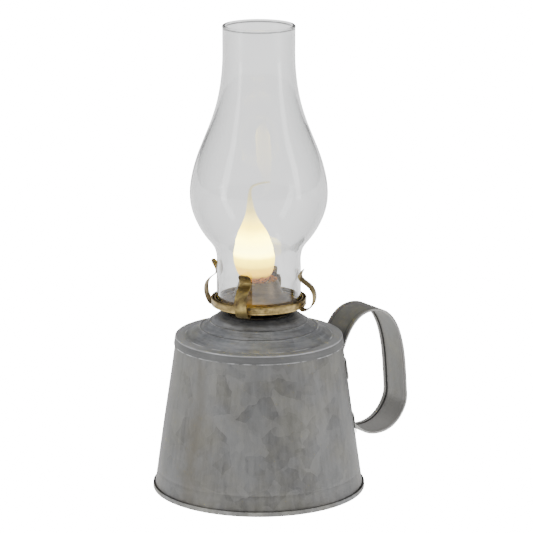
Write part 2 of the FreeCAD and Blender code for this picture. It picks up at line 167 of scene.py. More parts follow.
def curveThrough(points, count=8):
    # a smooth curve through the points, with count steps between each two
    spots = [Vector(p) for p in points]
    spans = [(b - a).length for a, b in zip(spots, spots[1:])]
    slopes = [(b - a) / length for a, b, length in zip(spots, spots[1:], spans)]
    gain, bend = [0.0], [spots[0] * 0]
    for before, after, low, high in zip(spans, spans[1:], slopes, slopes[1:]):
        pivot = 2 * (before + after) - before * gain[-1]
        gain.append(after / pivot)
        bend.append((6 * (high - low) - before * bend[-1]) / pivot)
    bends = [spots[0] * 0]
    for share, curl in zip(reversed(gain), reversed(bend)):
        bends.insert(0, curl - share * bends[0])
    line = []
    for index, length in enumerate(spans):
        start, end = bends[index], bends[index + 1]
        for step in range(count):
            t = length * step / count
            line.append(spots[index] + (slopes[index] - length * (2 * start + end) / 6) * t
                        + start * (t ** 2 / 2) + (end - start) * (t ** 3 / (6 * length)))
    line.append(spots[-1])
    return line


def profileThrough(points, count):
    return [(p.x, p.y) for p in curveThrough(points, count)]


def arc(centre, radius, start, end, count):
    # points of an arc in (radius, height), angles in degrees from straight outwards
    turns = [math.radians(start + (end - start) * i / count) for i in range(count + 1)]
    return [(centre[0] + radius * math.cos(t), centre[1] + radius * math.sin(t)) for t in turns]


def sideways(points, distance):
    # the (radius, height) points moved to the left of their path
    flat = [Vector(p) for p in points]
    moved = []
    for index, spot in enumerate(flat):
        along = flat[min(index + 1, len(flat) - 1)] - flat[max(index - 1, 0)]
        along.normalize()
        moved.append((spot.x - along.y * distance, spot.y + along.x * distance))
    return moved


def reach(node, height, within=0.0006):
    # the widest radius that a CAD node has near a height
    return max(math.hypot(v.co.x, v.co.y) for v in nodes[node].data.vertices if abs(v.co.z - height) < within)


def place(piece, body, slotName, material, *replaced):
    piece.data.materials.clear()
    piece.data.materials.append(material)
    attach(piece, body)
    if replaced:
        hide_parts(*replaced)
    print("made", piece.name)


def blank(name, **values):
    # a material with its constant values set on the shader's own sockets
    material = bpy.data.materials.new(name)
    material.use_nodes = True
    shader = material.node_tree.nodes["Principled BSDF"]
    for key, value in values.items():
        shader.inputs[key].default_value = value
    return material, material.node_tree, shader


def add(tree, kind, **values):
    node = tree.nodes.new(kind)
    for key, value in values.items():
        if key in node.inputs:
            node.inputs[key].default_value = value
        else:
            setattr(node, key, value)
    return node


def feed(shader, name, value):
    shader.id_data.links.new(value, shader.inputs[name])


def placeIn(tree, scale=(1, 1, 1)):
    where = add(tree, "ShaderNodeTexCoord")
    mapping = add(tree, "ShaderNodeMapping", Scale=scale)
    tree.links.new(where.outputs["Object"], mapping.inputs["Vector"])
    return mapping.outputs["Vector"]


def noise(tree, vector, scale, detail=4, roughness=0.5):
    node = add(tree, "ShaderNodeTexNoise", Scale=scale, Detail=detail, Roughness=roughness)
    tree.links.new(vector, node.inputs["Vector"])
    return node.outputs["Fac"]


def span(tree, value, low, high, fromLow=0, fromHigh=1):
    node = add(tree, "ShaderNodeMapRange")
    for key, number in zip(("From Min", "From Max", "To Min", "To Max"), (fromLow, fromHigh, low, high)):
        node.inputs[key].default_value = number
    tree.links.new(value, node.inputs["Value"])
    return node.outputs["Result"]


def calc(tree, operation, first, second=None):
    node = add(tree, "ShaderNodeMath", operation=operation)
    for socket, value in zip(node.inputs, (first, second)):
        if value is None:
            continue
        if isinstance(value, (int, float)):
            socket.default_value = value
        else:
            tree.links.new(value, socket)
    return node.outputs[0]


def times(tree, first, second):
    return calc(tree, "MULTIPLY", first, second)


def weighted(tree, *pairs):
    # the sum of the values, each times its weight
    products = [times(tree, value, weight) for value, weight in pairs]
    result = products[0]
    for product in products[1:]:
        result = calc(tree, "ADD", result, product)
    return result


def hypotenuse(tree, first, second):
    squares = [times(tree, value, value) for value in (first, second)]
    return calc(tree, "SQRT", calc(tree, "ADD", *squares))


def splitPlace(tree, vector):
    split = add(tree, "ShaderNodeSeparateXYZ")
    tree.links.new(vector, split.inputs[0])
    return split.outputs["X"], split.outputs["Y"], split.outputs["Z"]


def fromAxis(tree, where):
    return hypotenuse(tree, *splitPlace(tree, where)[:2])


def aroundAxis(tree, where, turns, outward, upward):
    # coordinates that run round the lamp's axis, outwards from it and up it
    alongX, alongY, up = splitPlace(tree, where)
    rings = add(tree, "ShaderNodeCombineXYZ")
    around = calc(tree, "ARCTAN2", alongY, alongX)
    tree.links.new(times(tree, fromAxis(tree, where), outward), rings.inputs["X"])
    tree.links.new(times(tree, calc(tree, "SINE", around), turns), rings.inputs["Y"])
    tree.links.new(weighted(tree, (up, upward), (calc(tree, "COSINE", around), turns)), rings.inputs["Z"])
    return rings.outputs[0]


def shaded(colour, share):
    return tuple(min(1.0, share * c) for c in colour)


def between(first, second):
    return tuple((a + b) / 2 for a, b in zip(first, second))


def blend(tree, factor, first, second):
    node = add(tree, "ShaderNodeMix", data_type="RGBA")
    for socket, value in ((node.inputs[0], factor), (node.inputs[6], first), (node.inputs[7], second)):
        if isinstance(value, (int, float)):
            socket.default_value = value
        elif isinstance(value, tuple):
            socket.default_value = (*value, 1)
        else:
            tree.links.new(value, socket)
    return node.outputs[2]


def ramp(tree, value, *stops):
    node = add(tree, "ShaderNodeValToRGB")
    elements = node.color_ramp.elements
    while len(elements) < len(stops):
        elements.new(0.5)
    for element, (position, colour) in zip(elements, stops):
        element.position = position
        element.color = (*colour, 1)
    tree.links.new(value, node.inputs["Fac"])
    return node.outputs["Color"]


def emboss(tree, shader, height, distance, strength=1.0):
    node = add(tree, "ShaderNodeBump", Strength=strength, Distance=distance)
    tree.links.new(height, node.inputs["Height"])
    feed(shader, "Normal", node.outputs["Normal"])


galvanising = {
    "metal": 0.62,
    "roughness": (0.38, 0.58),
    "spangle": 78,        # large crystals to a metre
    "smallTimes": 2.6,    # how many times finer the small crystals are
    "warp": 0.012,        # how far the crystals' edges wander
    "smudge": 14, "grain": 900, "drawn": 240, "patch": 34,    # scales of the noises
    "bluer": (0.74, 0.79, 0.90), "yellower": (0.84, 0.82, 0.66), "patchShare": 0.22,
    "footDarkeningHeights": (0.001, 0.012), "footDarkeningColour": (0.05, 0.045, 0.04),
    "reflectionAzimuth": -2.86, "reflectionWidths": (0.02, 0.30), "reflectionShare": 0.6, "reflectionColour": (0.125, 0.112, 0.085),
    "gapWidths": (0.0002, 0.0007), "gapShare": 0.7, "gapColour": (0.07, 0.069, 0.066),
    "brightLineFrom": 0.0030, "brightLineTo": 0.0039, "brightLineShare": 0.6, "brightLineColour": (0.46, 0.455, 0.44),
    "rubbedAndHighlit": 1.75,       # how much lighter a rubbed edge line with its painted highlight is
}


def crystals(tree, vector, scale, channel):
    cells = add(tree, "ShaderNodeTexVoronoi", Scale=scale, Randomness=1)
    tree.links.new(vector, cells.inputs["Vector"])
    shades = add(tree, "ShaderNodeSeparateColor")
    tree.links.new(cells.outputs["Color"], shades.inputs["Color"])
    return shades.outputs[channel]


def wandering(tree, where):
    bend = add(tree, "ShaderNodeTexNoise", Scale=45, Detail=3)
    tree.links.new(where, bend.inputs["Vector"])
    warped = add(tree, "ShaderNodeMix", data_type="VECTOR")
    warped.inputs[0].default_value = galvanising["warp"]
    tree.links.new(where, warped.inputs[4])
    tree.links.new(bend.outputs["Color"], warped.inputs[5])
    return warped.outputs[1]


def galvanisedSheet(name, light, dark, footDarkening=0.0, paintedReflection=False, smears=0.0, rubbedAndHighlitEdges=(), paintedLightAndShade=(), hemLine=0.0):
    # large and small zinc crystals, a fine grain, broad smudges and upright drag marks
    look = galvanising
    material, tree, shader = blank(name, Metallic=look["metal"])
    where = placeIn(tree)
    alongX, alongY, up = splitPlace(tree, where)
    out = fromAxis(tree, where)
    bent = wandering(tree, where)
    spangle = weighted(tree, (crystals(tree, bent, look["spangle"], "Red"), 0.68),
                       (crystals(tree, bent, look["spangle"] * look["smallTimes"], "Green"), 0.32))
    smudge = span(tree, noise(tree, where, look["smudge"], 5, 0.6), 0, 1, 0.3, 0.7)
    drawn = span(tree, noise(tree, placeIn(tree, (1, 1, 0.1)), look["drawn"], 4, 0.6), 0, 1, 0.3, 0.7)
    grain = noise(tree, where, look["grain"], 3, 0.7)
    tone = weighted(tree, (spangle, 0.46), (smudge, 0.32), (drawn, 0.22))
    colour = ramp(tree, tone, (0.15, dark), (0.5, between(light, dark)), (0.9, light))
    if smears:  # hand marks that run round the lamp
        drag = noise(tree, aroundAxis(tree, where, 1.6, 300, 300), 1.0, 5, 0.7)
        colour = blend(tree, span(tree, drag, 0, smears, 0.5, 0.72), colour, shaded(light, 1.3))
        colour = blend(tree, span(tree, drag, smears, 0, 0.3, 0.48), colour, shaded(dark, 0.7))
    if paintedReflection:  # one warm brown band down the drum, a painted reflection
        azimuth = calc(tree, "ARCTAN2", alongY, alongX)
        band = calc(tree, "ABSOLUTE", calc(tree, "SUBTRACT", azimuth, look["reflectionAzimuth"]))
        ragged = span(tree, noise(tree, placeIn(tree, (1, 1, 0.15)), 60), 0, 1, 0.35, 0.65)
        reflectionBand = times(tree, span(tree, band, 1, 0, *look["reflectionWidths"]), ragged)
        colour = blend(tree, times(tree, reflectionBand, look["reflectionShare"]), colour, look["reflectionColour"])
    if footDarkening:  # darker towards the foot, in patches
        foot = span(tree, up, 1, 0, *look["footDarkeningHeights"])
        darkening = times(tree, foot, span(tree, noise(tree, where, 160, 4), 0, 1, 0.3, 0.6))
        colour = blend(tree, times(tree, darkening, footDarkening), colour, look["footDarkeningColour"])
    patch, most = noise(tree, where, look["patch"], 3, 0.6), look["patchShare"]
    for hue, low, high, ends in (("bluer", 0, most, (0.5, 0.62)), ("yellower", most, 0, (0.38, 0.5))):
        tinted = tuple(c * k for c, k in zip(light, look[hue]))
        colour = blend(tree, span(tree, patch, low, high, *ends), colour, tinted)
    for outFrom, outTo, upFrom, upTo, share, shade in paintedLightAndShade:  # whole bands that are lighter or darker: painted light and painted shade
        inside = times(tree, span(tree, out, 0, 1, outFrom, outTo), span(tree, up, 0, share, upFrom, upTo))
        colour = blend(tree, inside, colour, shade)
    if hemLine:  # a dark line along the inner edge of each hem, and a bright line outside it
        across = calc(tree, "ABSOLUTE", alongY)
        gap = calc(tree, "ABSOLUTE", calc(tree, "SUBTRACT", across, hemLine))
        colour = blend(tree, span(tree, gap, look["gapShare"], 0, *look["gapWidths"]), colour, look["gapColour"])
        brightLine = span(tree, across, 0, look["brightLineShare"], hemLine + look["brightLineFrom"], hemLine + look["brightLineTo"])
        colour = blend(tree, brightLine, colour, look["brightLineColour"])
    for ringRadius, ringHeight, width in rubbedAndHighlitEdges:  # bright lines where an edge has been rubbed, each with a painted highlight
        away = hypotenuse(tree, calc(tree, "SUBTRACT", out, ringRadius), calc(tree, "SUBTRACT", up, ringHeight))
        rubAndHighlight = times(tree, span(tree, away, 1, 0, 0.3 * width, width),
                   span(tree, noise(tree, where, 70, 4, 0.6), 0.0, 1.0, 0.42, 0.62))
        colour = blend(tree, rubAndHighlight, colour, shaded(light, look["rubbedAndHighlit"]))
    feed(shader, "Base Color", colour)
    rough = span(tree, weighted(tree, (spangle, 0.7), (grain, 0.3)), *look["roughness"])
    feed(shader, "Roughness", rough)
    emboss(tree, shader, weighted(tree, (grain, 0.35), (spangle, 0.65)), 0.00012, 0.5)
    return material


def agedBrass(name, bright, dull, wear=0.5, roughness=(0.3, 0.6)):
    # brass with a dark patina that has been rubbed through in patches
    material, tree, shader = blank(name, Metallic=1.0)
    where = placeIn(tree)
    patches, fine = noise(tree, where, 130, 6, 0.65), noise(tree, where, 1400, 3, 0.6)
    patina = span(tree, weighted(tree, (patches, 0.8), (fine, 0.2)), 0, 1, wear - 0.14, wear + 0.14)
    colour = ramp(tree, patina, (0.0, bright), (0.55, between(bright, dull)), (1.0, dull))
    feed(shader, "Base Color", colour)
    feed(shader, "Roughness", span(tree, patina, *roughness))
    emboss(tree, shader, weighted(tree, (patches, 0.6), (fine, 0.4)), 0.00015, 0.4)
    return material


def spunBronze(name, colour, dark):
    # metal brushed in circles round the lamp's axis
    material, tree, shader = blank(name, Metallic=1.0)
    where = placeIn(tree)
    lines = noise(tree, aroundAxis(tree, where, 0.8, 2300, 2300), 1.0, 3, 0.6)
    broad = noise(tree, aroundAxis(tree, where, 1.2, 520, 520), 1.0, 3, 0.6)
    smudge = noise(tree, where, 90, 4, 0.6)
    tone = weighted(tree, (lines, 0.3), (broad, 0.4), (smudge, 0.3))
    feed(shader, "Base Color", ramp(tree, tone, (0.36, dark), (0.62, colour)))
    feed(shader, "Roughness", span(tree, tone, 0.36, 0.52, 0.3, 0.7))
    emboss(tree, shader, weighted(tree, (lines, 0.5), (broad, 1.0)), 0.00008, 0.5)
    return material


def copperWithPaintedGlow(name, low, high, strength=0.5):
    # the bell's bare inside, crumpled, with a painted orange glow of the flame's light near its mouth
    material, tree, shader = blank(name, Metallic=0.8, Roughness=0.42)
    where = placeIn(tree)
    crumple = noise(tree, where, 560, 5, 0.7)
    copper = ramp(tree, crumple, (0.38, (0.08, 0.014, 0.002)), (0.5, (0.52, 0.19, 0.012)), (0.62, (0.95, 0.46, 0.05)))
    feed(shader, "Base Color", copper)
    feed(shader, "Emission Color", copper)
    up = splitPlace(tree, where)[2]
    feed(shader, "Emission Strength", span(tree, up, 0, strength, low, high))
    emboss(tree, shader, crumple, 0.0006, 0.7)
    return material


def finelyMarked(material, tree, shader, colour, dimmest, marks, roughness, spread, depth):
    # colour, roughness and relief that all follow one fine noise
    feed(shader, "Base Color", ramp(tree, marks, (0.3, shaded(colour, dimmest)), (0.7, colour)))
    feed(shader, "Roughness", span(tree, marks, roughness - spread, roughness + spread))
    emboss(tree, shader, marks, depth, 0.3)
    return material


def plainMetal(name, colour, roughness, scale=500):
    material, tree, shader = blank(name, Metallic=1.0)
    marks = noise(tree, placeIn(tree), scale, 4, 0.6)
    return finelyMarked(material, tree, shader, colour, 0.75, marks, roughness, 0.08, 0.00005)


def moulded(name, colour, roughness, scale=700, coat=0.0):
    # rubber, nylon or phenolic with a faint moulded grain
    material, tree, shader = blank(name, **{"Coat Weight": coat})
    grain = noise(tree, placeIn(tree), scale, 4, 0.6)
    return finelyMarked(material, tree, shader, colour, 0.8, grain, roughness, 0.06, 0.00006)


def clearGlass(name, tint, wave=0.0, ends=None):
    # blown glass with soft upright draw lines, greyer where it is seen at a slant: painted shade;
    # ends are the lowest and highest points of the chimney, whose foot was ground flat
    material, tree, shader = blank(name, IOR=1.52, Roughness=0.0, **{"Transmission Weight": 1.0})
    lines = noise(tree, placeIn(tree, (1, 1, 0.12)), 55, 2, 0.5)
    grey = ramp(tree, lines, (0.3, shaded(tint, 0.985)), (0.7, tint))
    edge = add(tree, "ShaderNodeLayerWeight", Blend=0.5)
    paintedEdgeShade = span(tree, edge.outputs["Facing"], 0, 1, 0.22, 0.9)
    if ends:
        foot, rim = ends
        up = splitPlace(tree, placeIn(tree))[2]
        paintedEdgeShade = times(tree, paintedEdgeShade, span(tree, up, 1, 0, rim - 0.006, rim - 0.003))
        ground = span(tree, up, 1, 0, foot + 0.0005, foot + 0.0011)
        feed(shader, "Transmission Weight", span(tree, ground, 1.0, 0.15))
        feed(shader, "Roughness", span(tree, ground, 0.0, 0.5))
    feed(shader, "Base Color", blend(tree, paintedEdgeShade, grey, shaded(tint, 0.6)))
    if wave:
        emboss(tree, shader, lines, wave, 0.35)
    return material


# The lit flame from its foot, 0, to its tip, 1: the light's colour, the skin's colour and the light's power
silicone = {
    "glow": ((0.0, (1.0, 0.50, 0.010)), (0.165, (1.0, 0.62, 0.015)), (0.185, (1.0, 0.72, 0.03)),
             (0.27, (1.0, 0.78, 0.03)), (0.36, (1.0, 0.88, 0.22)), (0.46, (1.0, 0.80, 0.07)),
             (0.58, (1.0, 0.74, 0.04)), (0.72, (1.0, 0.80, 0.24)), (0.85, (1.0, 0.88, 0.50)),
             (1.0, (1.0, 0.92, 0.62))),
    "skin": ((0.0, (0.80, 0.50, 0.10)), (0.5, (0.80, 0.62, 0.12)), (1.0, (0.62, 0.57, 0.42))),
    "power": ((0.0, 0.02), (0.07, 0.03), (0.11, 0.16), (0.175, 0.18), (0.188, 0.27), (0.27, 0.40), (0.36, 1.3),
              (0.42, 1.1), (0.56, 0.44), (0.72, 0.12), (0.85, 0.062), (1.0, 0.048)),
    "copper": ((0.40, (0.10, 0.02, 0.002)), (0.5, (0.6, 0.2, 0.02)), (0.62, (0.95, 0.45, 0.07))),
    "strength": (17.0, 22.0),
    "copperTop": (0.055, 0.085),
}


def litSilicone(name, low, high):
    # silicone lit by the filament behind it, with a rough copper-orange foot
    material, tree, shader = blank(name, Roughness=0.42, IOR=1.41)
    where = placeIn(tree)
    up = span(tree, splitPlace(tree, where)[2], 0, 1, low, high)
    streaks = noise(tree, placeIn(tree, (1, 1, 0.3)), 260, 3, 0.5)
    glow, skin = ramp(tree, up, *silicone["glow"]), ramp(tree, up, *silicone["skin"])
    power = ramp(tree, up, *[(place, (level,) * 3) for place, level in silicone["power"]])
    crumple = noise(tree, where, 620, 5, 0.7)
    copper = ramp(tree, crumple, *silicone["copper"])
    ragged = calc(tree, "ADD", up, span(tree, noise(tree, where, 240, 3), -0.035, 0.035))
    footShare = span(tree, ragged, 1, 0, *silicone["copperTop"])
    feed(shader, "Base Color", blend(tree, footShare, skin, copper))
    feed(shader, "Emission Color", blend(tree, footShare, glow, copper))
    strength = times(tree, power, span(tree, streaks, *silicone["strength"]))
    feed(shader, "Emission Strength", strength)
    relief = calc(tree, "ADD", times(tree, crumple, footShare), times(tree, streaks, 0.2))
    emboss(tree, shader, relief, 0.0006, 0.6)
    return material


def glowing(name, colour, strength):
    material, tree, shader = blank(name, Roughness=0.5, **{"Emission Strength": strength})
    coil = add(tree, "ShaderNodeTexWave", Scale=900, Distortion=0.5)
    tree.links.new(placeIn(tree), coil.inputs["Vector"])
    feed(shader, "Emission Color", ramp(tree, coil.outputs["Fac"], (0, shaded(colour, 0.8)), (1, colour)))
    return material


chimneyLow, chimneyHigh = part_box("chimney")
drumZinc = galvanisedSheet("drumZinc", (0.238, 0.235, 0.226), (0.092, 0.091, 0.088), footDarkening=0.6, paintedReflection=True)
rimZinc = galvanisedSheet("rimZinc", (0.37, 0.367, 0.358), (0.19, 0.19, 0.186), footDarkening=0.6)
# the first list holds (radius, height, width) of each bright edge line, rubbed and with a painted highlight; the
# second holds the radii and the heights between which a band fades in, how much of it shows, and its colour: painted
# light on the shoulder, painted shade down the skirt
lidZinc = galvanisedSheet("lidZinc", (0.36, 0.365, 0.372), (0.15, 0.153, 0.16), smears=0.6,
                         rubbedAndHighlitEdges=((0.0633, 0.1191, 0.0010), (0.06445, 0.1126, 0.0007), (0.0556, 0.1193, 0.0009),
                               (0.0449, 0.1259, 0.0007), (0.0370, 0.1307, 0.0007)),
                         paintedLightAndShade=((0.0555, 0.0575, 0.1178, 0.1184, 0.6, (0.50, 0.505, 0.51)),
                                (0.0500, 0.0510, 0.1184, 0.1178, 0.85, (0.105, 0.105, 0.103))))
# the strap's lower part is painted light, fading out between 33 and 56 mm up
strapZinc = galvanisedSheet("strapZinc", (0.29, 0.285, 0.265), (0.165, 0.162, 0.152), hemLine=0.0111,
                           paintedLightAndShade=((0.0500, 0.0510, 0.0560, 0.0330, 0.75, (0.55, 0.54, 0.52)),))
ringBrass = agedBrass("ringBrass", (0.50, 0.37, 0.15), (0.07, 0.052, 0.03), 0.52)
prongBrass = agedBrass("prongBrass", (0.42, 0.32, 0.12), (0.085, 0.06, 0.034), 0.50)
# very dark brass for the collar and the burner cup: partly their own dark finish, partly painted shade under the
# gallery ring
darkAndShadedBrass = agedBrass("darkAndShadedBrass", (0.11, 0.09, 0.06), (0.025, 0.022, 0.02), 0.45, (0.45, 0.7))
deckBronze = spunBronze("deckBronze", (0.32, 0.245, 0.165), (0.085, 0.06, 0.038))
mouthCopper = copperWithPaintedGlow("mouthCopper", 0.1500, 0.1620)
chimneyGlass = clearGlass("chimneyGlass", (0.925, 0.93, 0.93), 0.0006, (chimneyLow.z, chimneyHigh.z))
innerGlass = clearGlass("innerGlass", (0.97, 0.97, 0.95))
blackRubber = moulded("blackRubber", (0.03, 0.03, 0.03), 0.6)
whiteNylon = moulded("whiteNylon", (0.78, 0.76, 0.70), 0.45)
blackPhenolic = moulded("blackPhenolic", (0.02, 0.018, 0.016), 0.3, 300, 0.3)
brightBrass = plainMetal("brightBrass", (0.75, 0.56, 0.27), 0.28)
platedSteel = plainMetal("platedSteel", (0.62, 0.61, 0.58), 0.32)
rivetSteel = plainMetal("rivetSteel", (0.40, 0.40, 0.39), 0.42, 900)
softSolder = plainMetal("softSolder", (0.66, 0.66, 0.66), 0.35, 900)
flameSilicone = litSilicone("flameSilicone", 0.1600, 0.2360)
hotFilament = glowing("hotFilament", (1.0, 0.72, 0.36), 12)
print("materials ready")


def millimetres(points):
    return [(r / 1000, z / 1000) for r, z in points]


# Drum: thin sheet on a rolled foot, with one crease low down
drum = {"sheet": 0.00055, "rows": 34, "steps": 192, "creaseHeight": 0.0152, "creaseDepth": 0.00014,
        "creaseClear": 0.0022, "dentSize": 0.045, "dentDepth": 0.0005, "dentSeed": 0.31,
        "holeRadius": 0.006, "holeDepth": 0.006}
wallLow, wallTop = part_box("base_wall")
footRadius = reach("base_wall", wallLow.z)
shoulderRadius = reach("base_wall", wallTop.z)
wallSlope = (footRadius - shoulderRadius) / (wallTop.z - wallLow.z)
wallLean = math.atan(wallSlope)


def wallAt(height):
    return footRadius - wallSlope * (height - wallLow.z)


def onWall(piece, azimuth, height):
    # a piece made round +Z, with z = 0 at the wall's outside, set square on the wall
    piece.matrix_world = (Matrix.Rotation(math.radians(azimuth), 4, "Z")
                          @ Matrix.Translation((wallAt(height), 0, height))
                          @ Matrix.Rotation(math.pi / 2 - wallLean, 4, "Y"))
    settle(piece)


def makeDrum():
    heights = [wallLow.z + (wallTop.z - wallLow.z) * row / drum["rows"] for row in range(drum["rows"] + 1)]
    middle = drum["creaseHeight"]
    crease = [(wallAt(middle + rise) - depth * drum["creaseDepth"], middle + rise)
              for rise, depth in ((-0.0012, 0), (-0.0004, 0.7), (0, 1), (0.0004, 0.7), (0.0012, 0))]
    path = [(wallAt(z), z) for z in heights if abs(z - middle) > drum["creaseClear"]] + crease
    piece = lathe("drumWall", sorted(path, key=lambda p: p[1]), drum["steps"])
    dent(piece, drum["dentSize"], drum["dentDepth"], drum["dentSeed"])
    thicken(piece, drum["sheet"])
    bpy.ops.mesh.primitive_cylinder_add(vertices=64, radius=drum["holeRadius"], depth=drum["holeDepth"])
    hole = bpy.context.object
    onWall(hole, 0, grommet["height"])
    modify(piece, "BOOLEAN", object=hole, operation="DIFFERENCE", solver="EXACT")
    bpy.data.objects.remove(hole)
    polish(piece, 30)
    return piece


# The lap of the drum's sheet, a soldered strip down the back
seam = {"azimuth": 86.8, "sweep": 6.4, "low": 0.0045, "high": 0.1119, "rows": 40, "sunk": 0.0001,
        "sheet": 0.00055, "edge": 0.00022}


def makeSeam():
    heights = [seam["low"] + (seam["high"] - seam["low"]) * row / seam["rows"] for row in range(seam["rows"] + 1)]
    path = [(wallAt(z) - seam["sunk"], z) for z in heights]
    piece = lathe("drumSeam", path, 8, seam["azimuth"], seam["sweep"])
    faceOut(piece)
    thicken(piece, seam["sheet"], 1)
    softenEdges(piece, seam["edge"])
    polish(piece)
    return piece


def faceOut(piece):
    # an open sheet round the lamp is made to face away from its axis
    face = max(piece.data.polygons, key=lambda f: f.area)
    if face.normal.x * face.center.x + face.normal.y * face.center.y < 0:
        turnOver(piece)


# Cord grommet, in the wall under the handle
grommet = {"height": 0.018, "cord": 3.2, "hole": 5.95, "flange": 8.0, "thickness": 1.4, "inside": -1.05,
           "steps": 64, "edge": 0.00015}


def makeGrommet():
    cord, hole, flange, out = grommet["cord"], grommet["hole"], grommet["flange"], grommet["thickness"]
    back = grommet["inside"]
    end = back - out
    outline = [(cord, end + 0.4), (cord + 0.4, end), (flange - 0.5, end), (flange, end + 0.5), (flange, back),
               (hole, back), (hole, 0), (flange, 0), (flange, out - 0.7), (flange - 0.25, out - 0.2),
               (flange - 0.8, out), (cord + 0.9, out), (cord + 0.25, out - 0.2), (cord, out - 0.8)]
    piece = lathe("cordGrommet", millimetres(outline + outline[:1]), grommet["steps"])
    onWall(piece, 0, grommet["height"])
    softenEdges(piece, grommet["edge"], 2, 40)
    polish(piece, 40)
    return piece


place(makeDrum(), "lamp", "galvanised_sheet", drumZinc, "base_wall")
place(makeSeam(), "lamp", "galvanised_sheet", drumZinc)
place(makeGrommet(), "lamp", "black_rubber", blackRubber, "cord_grommet")


# Foot: the bottom plate, set up inside the wall and rolled up round it
foot = {"sheet": 0.85, "hemHeight": 3.8, "recess": 7.0, "gap": 0.6, "steps": 192}


def makeFoot():
    rim = -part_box("base_pan")[0].x * 1000
    sheet, recess = foot["sheet"], foot["recess"]
    plate = recess + sheet
    hem = rim - sheet
    leg = wallAt(plate / 1000) * 1000 - foot["gap"]
    inside = leg - sheet
    outline = [(0, recess), (inside - 20, recess), (inside - 18.5, recess + 0.35), (inside - 14, recess + 0.35),
               (inside - 12.5, recess), (inside - 0.8, recess), (inside, recess - 0.8), (inside, 0.5)]
    outline += arc((inside + 0.5, 0.5), 0.5, 180, 270, 4)[1:]
    outline += arc((rim - 1.0, 1.0), 1.0, 270, 360, 8)
    outline += [(rim, 1.9), (rim - 0.06, 2.6)]
    outline += arc((hem + sheet / 2 - 0.05, foot["hemHeight"] - 0.4), 0.4, 0, 180, 8)
    outline += [(hem - 0.02, sheet + 0.1), (leg, sheet + 0.1), (leg, plate - 0.7), (leg - 0.7, plate), (0, plate)]
    piece = lathe("footPan", millimetres(outline), foot["steps"])
    polish(piece, 40)
    return piece


place(makeFoot(), "lamp", "galvanised_sheet", rimZinc, "base_pan")


# Lid: skirt with a rolled lower edge, flat shoulder, dome with two raised beads, flat crown
lid = {"sheet": 0.00055, "steps": 192, "skirt": 6.7, "taper": 0.96, "dentSize": 0.03, "dentDepth": 0.0003,
       "dentSeed": 0.77}


def makeLid():
    low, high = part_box("lid")
    edge = reach("lid", low.z) * 1000
    ridge = edge - lid["taper"]
    bottom, top = low.z * 1000, high.z * 1000
    shoulder = bottom + lid["skirt"]
    outline = [(edge, bottom + 0.05), (edge - 0.03, bottom + 0.5), (edge - 0.14, bottom + 0.9)]
    outline += [(edge + (ridge - edge) * s, bottom + lid["skirt"] * s) for s in (0.3, 0.5, 0.7)]
    outline += arc((ridge - 0.75, shoulder - 0.8), 0.8, 8, 90, 6)
    outline += [(ridge - 3.0, shoulder - 0.12), (ridge - 5.5, shoulder - 0.16), (ridge - 7.2, shoulder - 0.05)]
    dome = [(55.3, 119.3), (53.2, 120.35), (50.6, 121.95), (48.2, 123.55), (46.6, 124.6), (45.9, 125.15),
            (45.4, 125.65), (44.9, 125.85), (44.3, 125.8), (43.7, 125.75), (42.4, 126.7), (40.6, 128.0),
            (39.0, 129.15), (38.2, 129.8), (37.7, 130.3), (37.2, 130.62), (36.6, 130.75), (35.9, 131.1),
            (34.4, 132.35), (32.8, 133.65), (30.8, 134.75), (28.6, 135.7), (27.0, 136.25), (25.6, 136.48),
            (24.0, top), (21.0, top), (19.1, top)]
    outline += [(r, min(z, top)) for r, z in profileThrough(dome, 3)]
    piece = lathe("drumLid", millimetres(outline), lid["steps"])
    faceUp(piece)
    dent(piece, lid["dentSize"], lid["dentDepth"], lid["dentSeed"])
    thicken(piece, lid["sheet"])
    polish(piece)
    return piece


def faceUp(piece):
    if max(piece.data.polygons, key=lambda f: f.area).normal.z < 0:
        turnOver(piece)


place(makeLid(), "lamp", "galvanised_sheet", lidZinc, "lid")


# Collar on the lid's crown, with a soldered flange and a threaded bore
collar = {"bore": 16.0, "outer": 19.0, "flange": 24.0, "flangeThickness": 1.2, "neck": 3.7, "pitch": 0.9,
          "ridge": 0.35, "steps": 128}


def makeCollar():
    low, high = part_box("collar")
    bottom, top = low.z * 1000, high.z * 1000
    seat = top - collar["neck"]
    bore, outer, flange, thick = collar["bore"], collar["outer"], collar["flange"], collar["flangeThickness"]
    pitch, ridge = collar["pitch"], collar["ridge"]
    outline = [(bore, bottom), (outer, bottom), (outer, seat), (flange - 0.1, seat), (flange, seat + 0.1),
               (flange, seat + thick * 0.55), (flange - 0.35, seat + thick * 0.9), (flange - 0.8, seat + thick),
               (outer + 0.8, seat + thick)]
    outline += arc((outer + 0.8, seat + thick + 0.8), 0.8, 270, 180, 4)[1:]
    outline += [(outer, top - 0.4), (outer - 0.4, top), (bore + 0.4, top), (bore, top - 0.4)]
    while outline[-1][1] - pitch > bottom + pitch:  # the thread's ridges down the bore
        height = outline[-1][1]
        outline += [(bore + ridge, height - pitch / 2), (bore, height - pitch)]
    piece = lathe("screwCollar", millimetres(outline + outline[:1]), collar["steps"])
    polish(piece)
    return piece


place(makeCollar(), "lamp", "dark_brass", darkAndShadedBrass, "collar")


# Burner cup: a spun dish that screws into the collar and carries the ring
cup = {"sheet": 0.0008, "depth": 12.6, "edge": 0.00015, "steps": 128}


